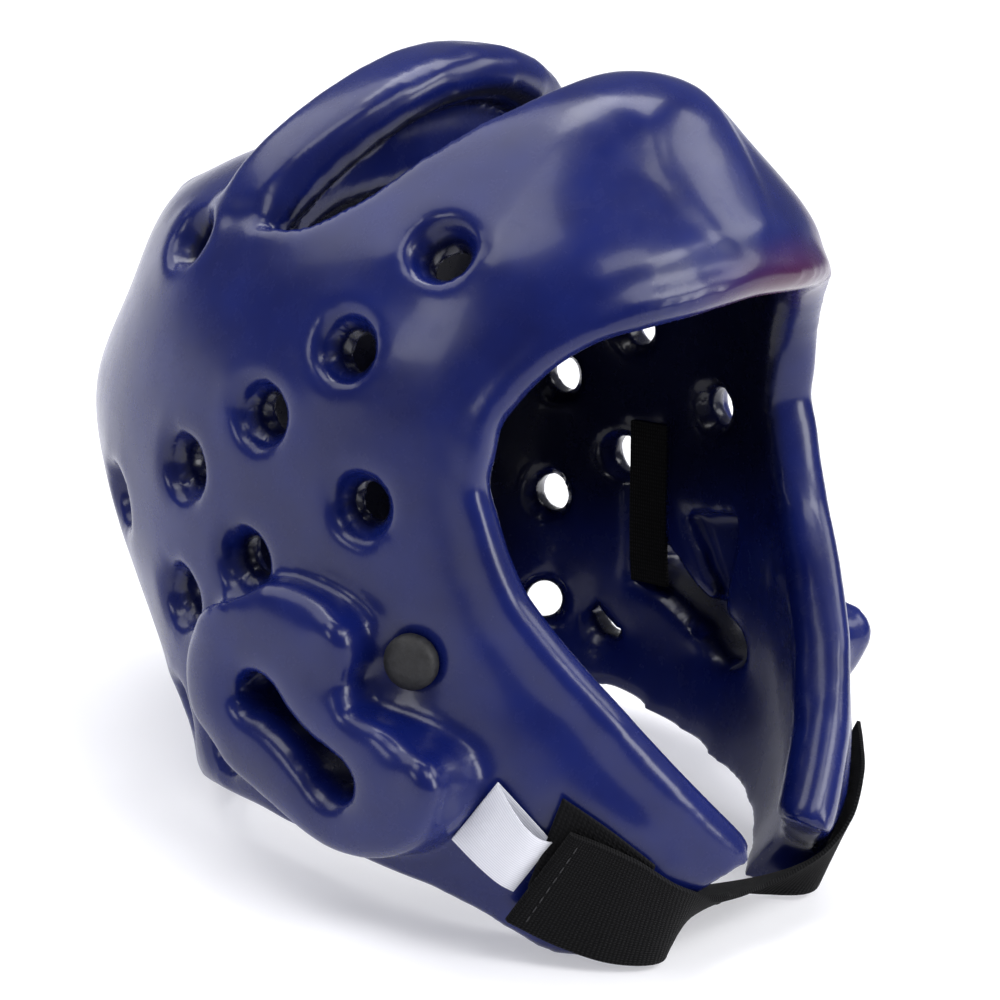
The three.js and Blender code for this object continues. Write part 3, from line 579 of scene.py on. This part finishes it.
# %% [markdown]
# ## The ear plugs and the strips inside
# A round rubbery plug sits beside each ear ring. The frame's plug has flat facets, so a
# fine remesh and a little smoothing make it round. The strips inside are plain cloth in
# a shallow recess, copied from the frame's strips, with a weave map and softly rounded edges.

# %% Make the plugs
plugs = []
for side in ("right", "left"):
    plug = copy_of_node(f"ear_plug_{side}", f"ear_plug_{side}_rubber")
    fine = plug.modifiers.new("Even mesh", "REMESH")
    fine.mode = "VOXEL"
    fine.voxel_size = 0.55 * MM
    rounded = plug.modifiers.new("Round", "SMOOTH")
    rounded.factor = 0.5
    rounded.iterations = 14
    apply_all(plug)
    shade_smooth(plug)
    plugs.append(plug)
print("plug points:", [len(p.data.vertices) for p in plugs])

# %% Lay the strips
STRIP_WIDTH = 14
strips = []
for side in ("right", "left"):
    strip_copy = copy_of_node(f"ear_strip_{side}", f"ear_strip_{side}_cloth")
    weave_map = strip_copy.data.uv_layers.active or strip_copy.data.uv_layers.new(name="UVMap")
    for loop in strip_copy.data.loops:
        spot = TO_UPRIGHT @ strip_copy.data.vertices[loop.vertex_index].co
        weave_map.data[loop.index].uv = (spot.z / 60, spot.y / STRIP_WIDTH)
    edge = strip_copy.modifiers.new("Round edge", "BEVEL")
    edge.width = 0.3 * MM
    edge.segments = 2
    edge.limit_method = "ANGLE"
    edge.angle_limit = math.radians(50)
    apply_all(strip_copy)
    shade_smooth(strip_copy)
    strips.append(strip_copy)

# %% [markdown]
# ## Materials
# A material starts from what the real one is. Colours are written as the eye reads
# them, in sRGB, and one function turns them to the linear values that Blender wants.

# %% Colour and node helpers
def colour(code):
    """A linear colour with alpha from an sRGB hex code."""
    parts = [int(code[i : i + 2], 16) / 255 for i in (1, 3, 5)]
    linear = [c / 12.92 if c <= 0.04045 else ((c + 0.055) / 1.055) ** 2.4 for c in parts]
    return (*linear, 1)


def add(tree, kind, links=None, **settings):
    """Adds a node, sets its properties and sockets, and links other sockets to it."""
    node = tree.nodes.new(kind)
    for name, value in settings.items():
        if hasattr(node, name):
            setattr(node, name, value)
        else:
            node.inputs[name.replace("_", " ")].default_value = value
    for name, source in (links or {}).items():
        tree.links.new(source, node.inputs[name])
    return node


def new_material(name):
    """An empty material without any nodes, and its node tree."""
    material = bpy.data.materials.new(name)
    material.use_nodes = True
    material.node_tree.nodes.clear()
    return material, material.node_tree


def dress(piece, material):
    """Gives a piece its one material."""
    piece.data.materials.clear()
    piece.data.materials.append(material)


# %% [markdown]
# ### Dipped vinyl skin
# The foam is dipped in vinyl: a deep navy skin that is glossy but not a mirror. It has a
# slight orange peel of about 1 mm, slow waves of 15 to 30 mm from the foam below, and a
# purple tinge where the dip ran thin at the brow. The inside of the shell and the walls of
# the bores are darkened with painted shade.

# %% Paint where the dip ran thin
upright = np.array([TO_UPRIGHT @ v.co for v in shell.data.vertices])
BROW_SPOT = np.array([14, -106, 54])
BROW_SPREAD = [34, 22, 11]
RIM_SPOT, RIM_SPREAD = 48, 14
from_brow = np.linalg.norm((upright - BROW_SPOT) / BROW_SPREAD, axis=1)
thin = 1 - smooth_step(from_brow, 0.1, 1.5)
rim_run = 1 - smooth_step(np.abs(upright[:, 0] - RIM_SPOT) / RIM_SPREAD, 0.3, 1)
rim_run *= smooth_step(-upright[:, 1], 70, 90) * smooth_step(upright[:, 2], 10, 50)
tinge = shell.data.attributes.new("thin_dip", "FLOAT", "POINT")
tinge.data.foreach_set("value", np.clip(thin + 0.35 * rim_run, 0, 1).astype(np.float32))

# %% Paint shade on the inside, in the bores and in the slots
# Points whose outward direction turns to the head's middle lie inside the shell.
# Painted shade: the skin inside the shell is darkened, as if little light reached it.
head_middle = np.array([0, 0, 10])
up_ways = outward_of(shell) @ np.array(TURN_TO_REST)
towards = head_middle - upright
towards /= np.linalg.norm(towards, axis=1)[:, None]
turned_in = smooth_step((up_ways * towards).sum(axis=1), 0.0, 0.55)
deep = 1 - smooth_step(np.linalg.norm((upright - head_middle) / [92, 118, 125], axis=1), 0.86, 0.97)
inside_shade = shell.data.attributes.new("inside_shade", "FLOAT", "POINT")
# Painted shade on the walls of the vents' bores and of the ear slots, fading out towards the slots'
# outer mouths.
bore_shade = 0.75 * smooth_step(in_bore, 0.35, 1)
bore_shade *= np.where(in_slot, 1 - smooth_step(np.abs(upright[:, 0]), 90, 100), 1)
shade = np.maximum(turned_in * deep, bore_shade)
inside_shade.data.foreach_set("value", np.clip(shade, 0, 1).astype(np.float32))
print("points inside:", int((turned_in * deep > 0.5).sum()))

# %% Make the vinyl skin
vinyl, tree = new_material("dipped_navy_vinyl")
place = add(tree, "ShaderNodeTexCoord").outputs["Object"]
cloud = add(tree, "ShaderNodeTexNoise", {"Vector": place}, Scale=38, Detail=3, Roughness=0.5)
navy = add(tree, "ShaderNodeValToRGB", {"Fac": cloud.outputs["Fac"]})
navy.color_ramp.elements[0].position = 0.3
navy.color_ramp.elements[0].color = colour("#081148")
navy.color_ramp.elements[1].position = 0.75
navy.color_ramp.elements[1].color = colour("#0e1b5c")
thin_dip = add(tree, "ShaderNodeAttribute", attribute_name="thin_dip")
tinged = add(tree, "ShaderNodeMix", data_type="RGBA")
tinged.inputs[7].default_value = colour("#3c0f33")
tree.links.new(thin_dip.outputs["Fac"], tinged.inputs[0])
tree.links.new(navy.outputs["Color"], tinged.inputs[6])
# Painted shade: the colour is mixed towards a near black navy on the inside and in the bores.
painted_shade = add(tree, "ShaderNodeAttribute", attribute_name="inside_shade")
shaded = add(tree, "ShaderNodeMix", data_type="RGBA")
shaded.inputs[7].default_value = colour("#070920")
tree.links.new(painted_shade.outputs["Fac"], shaded.inputs[0])
tree.links.new(tinged.outputs[2], shaded.inputs[6])
peel = add(tree, "ShaderNodeTexNoise", {"Vector": place}, Scale=900, Detail=2, Roughness=0.5)
waves = add(tree, "ShaderNodeTexNoise", {"Vector": place}, Scale=55, Detail=1, Roughness=0.4)
wave_bump = add(
    tree, "ShaderNodeBump", {"Height": waves.outputs["Fac"]}, Strength=0.35, Distance=0.0006
)
peel_bump = add(
    tree,
    "ShaderNodeBump",
    {"Height": peel.outputs["Fac"], "Normal": wave_bump.outputs["Normal"]},
    Strength=0.16,
    Distance=0.0001,
)
scuffs = add(tree, "ShaderNodeTexNoise", {"Vector": place}, Scale=140, Detail=5, Roughness=0.65)
gloss = add(tree, "ShaderNodeMapRange", {"Value": scuffs.outputs["Fac"]})
gloss.inputs["To Min"].default_value = 0.19
gloss.inputs["To Max"].default_value = 0.34
skin = add(
    tree,
    "ShaderNodeBsdfPrincipled",
    {
        "Base Color": shaded.outputs[2],
        "Roughness": gloss.outputs["Result"],
        "Normal": peel_bump.outputs["Normal"],
    },
    IOR=1.5,
    Specular_IOR_Level=0.29,
    Coat_Weight=0.13,
    Coat_Roughness=0.09,
)
add(tree, "ShaderNodeOutputMaterial", {"Surface": skin.outputs["BSDF"]})
dress(shell, vinyl)

# %% [markdown]
# ### Woven elastic, hook cloth and strip cloth
# The strap is woven polyester, matt black with fine ribs across it. Real threads are
# about 0.6 mm apart; here the ribs are 1.1 mm apart, so that they show in the render.

# %% Make the black cloths
def black_cloth(name, length, width, rib, dark, light, fuzz):
    """A matt woven black, its ribs spaced in mm along a sheet of the given size."""
    material, nodes = new_material(name)
    sheet_map = add(nodes, "ShaderNodeTexCoord").outputs["UV"]
    sized = add(nodes, "ShaderNodeMapping", {"Vector": sheet_map})
    sized.inputs["Scale"].default_value = (length, width, 1)
    turns = 1 / rib / 3.1416
    ribs = add(
        nodes,
        "ShaderNodeTexWave",
        {"Vector": sized.outputs["Vector"]},
        bands_direction="X",
        Scale=turns,
        Distortion=0.8,
        Detail=1,
    )
    picks = add(
        nodes,
        "ShaderNodeTexWave",
        {"Vector": sized.outputs["Vector"]},
        bands_direction="Y",
        Scale=turns * 1.3,
        Distortion=0.8,
        Detail=1,
    )
    woven = add(nodes, "ShaderNodeMath", operation="MULTIPLY")
    nodes.links.new(ribs.outputs["Fac"], woven.inputs[0])
    nodes.links.new(picks.outputs["Fac"], woven.inputs[1])
    lint = add(
        nodes, "ShaderNodeTexNoise", {"Vector": sized.outputs["Vector"]}, Scale=0.9, Detail=5
    )
    height = add(nodes, "ShaderNodeMath", operation="MULTIPLY_ADD")
    height.inputs[1].default_value = fuzz
    nodes.links.new(lint.outputs["Fac"], height.inputs[0])
    nodes.links.new(woven.outputs["Value"], height.inputs[2])
    shades = add(nodes, "ShaderNodeValToRGB", {"Fac": height.outputs["Value"]})
    shades.color_ramp.elements[0].position = 0.15
    shades.color_ramp.elements[0].color = colour(dark)
    shades.color_ramp.elements[1].position = 1.0
    shades.color_ramp.elements[1].color = colour(light)
    bump = add(
        nodes, "ShaderNodeBump", {"Height": height.outputs["Value"]}, Strength=0.7, Distance=0.0004
    )
    cloth = add(
        nodes,
        "ShaderNodeBsdfPrincipled",
        {"Base Color": shades.outputs["Color"], "Normal": bump.outputs["Normal"]},
        Roughness=0.92,
        Specular_IOR_Level=0.1,
        Sheen_Weight=0.03,
        Sheen_Roughness=0.5,
    )
    add(nodes, "ShaderNodeOutputMaterial", {"Surface": cloth.outputs["BSDF"]})
    return material


webbing = black_cloth(
    "woven_black_elastic", strap_length, strap_width, 1.1, "#040405", "#101012", 0.5
)
hook_cloth = black_cloth("black_hook_cloth", tab_length, tab_width, 1.6, "#030304", "#101012", 1.2)
strip_cloth = black_cloth("black_strip_cloth", 60, STRIP_WIDTH, 1.2, "#040405", "#0d0d0f", 0.8)
dress(strap, webbing)
dress(tab, hook_cloth)
for strip_piece in strips:
    dress(strip_piece, strip_cloth)

# %% Make the sewing thread
thread_black, tree = new_material("black_polyester_thread")
thread_place = add(tree, "ShaderNodeTexCoord").outputs["Object"]
plies = add(tree, "ShaderNodeTexWave", {"Vector": thread_place}, Scale=900, Distortion=1)
ply_shades = add(tree, "ShaderNodeValToRGB", {"Fac": plies.outputs["Fac"]})
ply_shades.color_ramp.elements[0].color = colour("#0a0a0c")
ply_shades.color_ramp.elements[1].color = colour("#212126")
thread_shader = add(
    tree, "ShaderNodeBsdfPrincipled", {"Base Color": ply_shades.outputs["Color"]}, Roughness=0.6
)
add(tree, "ShaderNodeOutputMaterial", {"Surface": thread_shader.outputs["BSDF"]})
dress(strap_thread, thread_black)

# %% [markdown]
# ### White satin and moulded rubber
# Satin ribbon is white with a soft sheen across fine warp threads. The plug is a matt
# rubber, nearly black, with a mottled surface.

# %% Make the satin
satin, tree = new_material("white_satin_ribbon")
ribbon_map = add(tree, "ShaderNodeTexCoord").outputs["UV"]
ribbon = add(tree, "ShaderNodeMapping", {"Vector": ribbon_map})
ribbon.inputs["Scale"].default_value = (label_length, label_width, 1)
threads = add(
    tree,
    "ShaderNodeTexWave",
    {"Vector": ribbon.outputs["Vector"]},
    bands_direction="Y",
    Scale=0.45,
    Distortion=1.2,
    Detail=2,
)
crease = add(tree, "ShaderNodeTexNoise", {"Vector": ribbon.outputs["Vector"]}, Scale=0.12, Detail=2)
white = add(tree, "ShaderNodeValToRGB", {"Fac": threads.outputs["Fac"]})
white.color_ramp.elements[0].color = colour("#c9cad3")
white.color_ramp.elements[1].color = colour("#dfe0e7")
thread_bump = add(
    tree, "ShaderNodeBump", {"Height": threads.outputs["Fac"]}, Strength=0.25, Distance=0.0001
)
crease_bump = add(
    tree,
    "ShaderNodeBump",
    {"Height": crease.outputs["Fac"], "Normal": thread_bump.outputs["Normal"]},
    Strength=0.5,
    Distance=0.001,
)
satin_shader = add(
    tree,
    "ShaderNodeBsdfPrincipled",
    {"Base Color": white.outputs["Color"], "Normal": crease_bump.outputs["Normal"]},
    Roughness=0.45,
    Sheen_Weight=0.3,
)
add(tree, "ShaderNodeOutputMaterial", {"Surface": satin_shader.outputs["BSDF"]})
dress(label, satin)

# %% Make the rubber
rubber, tree = new_material("matt_black_rubber")
plug_place = add(tree, "ShaderNodeTexCoord").outputs["Object"]
mottle = add(tree, "ShaderNodeTexNoise", {"Vector": plug_place}, Scale=420, Detail=4, Roughness=0.7)
greys = add(tree, "ShaderNodeValToRGB", {"Fac": mottle.outputs["Fac"]})
greys.color_ramp.elements[0].position = 0.35
greys.color_ramp.elements[0].color = colour("#08080a")
greys.color_ramp.elements[1].position = 0.75
greys.color_ramp.elements[1].color = colour("#232327")
pits = add(
    tree, "ShaderNodeBump", {"Height": mottle.outputs["Fac"]}, Strength=0.5, Distance=0.0005
)
rubber_shader = add(
    tree,
    "ShaderNodeBsdfPrincipled",
    {"Base Color": greys.outputs["Color"], "Normal": pits.outputs["Normal"]},
    Roughness=0.62,
)
add(tree, "ShaderNodeOutputMaterial", {"Surface": rubber_shader.outputs["BSDF"]})
for plug in plugs:
    dress(plug, rubber)

# %% [markdown]
# ## Joining the pieces to the frame
# Each piece rides on the frame's one body and stands for its node, which is hidden.

# %% Attach each piece and hide its node
pieces = [
    (shell, "shell", "dipped_foam"),
    (strap_thread, "chin_strap", "webbing"),
    (strap, "chin_strap", "webbing"),
    (tab, "strap_tab", "webbing"),
    (label, "label", "label_satin"),
    (plugs[0], "ear_plug_right", "plug"),
    (plugs[1], "ear_plug_left", "plug"),
    (strips[0], "ear_strip_right", "webbing"),
    (strips[1], "ear_strip_left", "webbing"),
]
for piece, node, slot in pieces:
    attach(piece, "root")
    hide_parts(node)

# %% [markdown]
# ## The studio
# A pale floor and large soft lights give the wide pale highlights of a glossy skin. The
# surround is white where the camera looks straight at it, and dim for all other rays,
# so that it doesn't wash out the dark sides. The floor's glow keeps it white.

# %% Floor and surround
bpy.ops.object.select_all(action="DESELECT")
bpy.ops.mesh.primitive_plane_add(size=16, location=(0, 0, -0.0005))
floor = bpy.context.active_object
floor.name = "floor"
paper, tree = new_material("pale_paper_floor")
sheet_place = add(tree, "ShaderNodeTexCoord").outputs["Object"]
grain = add(tree, "ShaderNodeTexNoise", {"Vector": sheet_place}, Scale=60, Detail=3)
pale = add(tree, "ShaderNodeValToRGB", {"Fac": grain.outputs["Fac"]})
pale.color_ramp.elements[0].color = colour("#c8c8cb")
pale.color_ramp.elements[1].color = colour("#cfcfd1")
paper_shader = add(
    tree,
    "ShaderNodeBsdfPrincipled",
    {"Base Color": pale.outputs["Color"]},
    Roughness=0.9,
    Emission_Color=colour("#fafaff"),
    Emission_Strength=0.42,
)
add(tree, "ShaderNodeOutputMaterial", {"Surface": paper_shader.outputs["BSDF"]})
dress(floor, paper)

world = bpy.data.worlds.new("light tent")
bpy.context.scene.world = world
world.use_nodes = True
tree = world.node_tree
tree.nodes.clear()
ray = add(tree, "ShaderNodeLightPath")
backdrop = add(tree, "ShaderNodeBackground", Color=colour("#ffffff"), Strength=1.0)
surround = add(tree, "ShaderNodeBackground", Color=colour("#f0f2fb"), Strength=0.22)
tent = add(tree, "ShaderNodeMixShader")
tree.links.new(ray.outputs["Is Camera Ray"], tent.inputs[0])
tree.links.new(surround.outputs[0], tent.inputs[1])
tree.links.new(backdrop.outputs[0], tent.inputs[2])
add(tree, "ShaderNodeOutputWorld", {"Surface": tent.outputs[0]})
bpy.context.scene.view_settings.view_transform = "Standard"

# %% Camera at the photograph's angle
VIEW_TURN = math.radians(-49.5)
VIEW_RISE = math.radians(14)
VIEW_FAR = 1150
LENS = 140.76
SENSOR = 36
PIXELS_PER_MM = 3.4
AIM_RIGHT, AIM_UP = 36, -70

back = Vector(
    (
        math.sin(VIEW_TURN) * math.cos(VIEW_RISE),
        -math.cos(VIEW_TURN) * math.cos(VIEW_RISE),
        math.sin(VIEW_RISE),
    )
)
right = Vector((math.cos(VIEW_TURN), math.sin(VIEW_TURN), 0))
up = back.cross(right)
eye = right * (AIM_RIGHT / PIXELS_PER_MM) + up * (AIM_UP / PIXELS_PER_MM) + back * VIEW_FAR
camera_data = bpy.data.cameras.new("camera")
camera_data.lens = LENS
camera_data.sensor_width = SENSOR
camera_data.clip_start = 0.05
camera = bpy.data.objects.new("camera", camera_data)
bpy.context.collection.objects.link(camera)
view_axes = [TURN_TO_REST @ axis for axis in (right, up, back)]
stand = Matrix(view_axes).transposed().to_4x4()
stand.translation = TO_REST @ eye
camera.matrix_world = stand
bpy.context.scene.camera = camera
print("camera stands at (m):", [round(v, 3) for v in stand.translation])

# %% [markdown]
# ### Soft lights
# A smooth skin shows a light as a highlight where its surface mirrors the way from the
# camera to the light. The lights that are named for a form stand about in that
# direction for it, and the others light the whole. Places are metres to the camera's
# right, up and back towards the camera, from the guard's middle.

# %% Place the lights
LIT_MIDDLE = Vector((0, 0, 0.12))


def soft_light(name, across, rise, towards, size, power):
    """A rectangular area light that is aimed at the guard's middle."""
    light_data = bpy.data.lights.new(name, "AREA")
    light_data.shape = "RECTANGLE"
    light_data.size, light_data.size_y = size
    light_data.energy = power
    light = bpy.data.objects.new(name, light_data)
    bpy.context.collection.objects.link(light)
    aimed_from = view_axes[0] * across + Vector((0, 0, rise)) + view_axes[2] * towards
    light.location = LIT_MIDDLE + aimed_from
    light.rotation_mode = "QUATERNION"
    light.rotation_quaternion = (light.location - LIT_MIDDLE).to_track_quat("Z", "Y")
    return light


soft_light("key", -1.1, 1.7, -0.6, (1.7, 1.7), 22)
soft_light("top", 0.0, 2.2, -0.75, (1.5, 0.9), 30)
soft_light("for the far rim", -0.65, 1.5, 0.55, (0.6, 0.9), 8)
soft_light("for the arch's side", -1.3, 0.4, 1.3, (0.6, 0.5), 5)
soft_light("for the brow", 1.5, 1.15, 0.6, (0.8, 0.5), 14)
soft_light("for the brow's panel", 1.7, 1.35, -0.6, (1.1, 0.7), 12)
soft_light("for the back", 0.86, 1.25, 1.0, (0.8, 0.6), 8)
soft_light("low right", 1.5, 0.1, 0.6, (0.5, 0.8), 12)
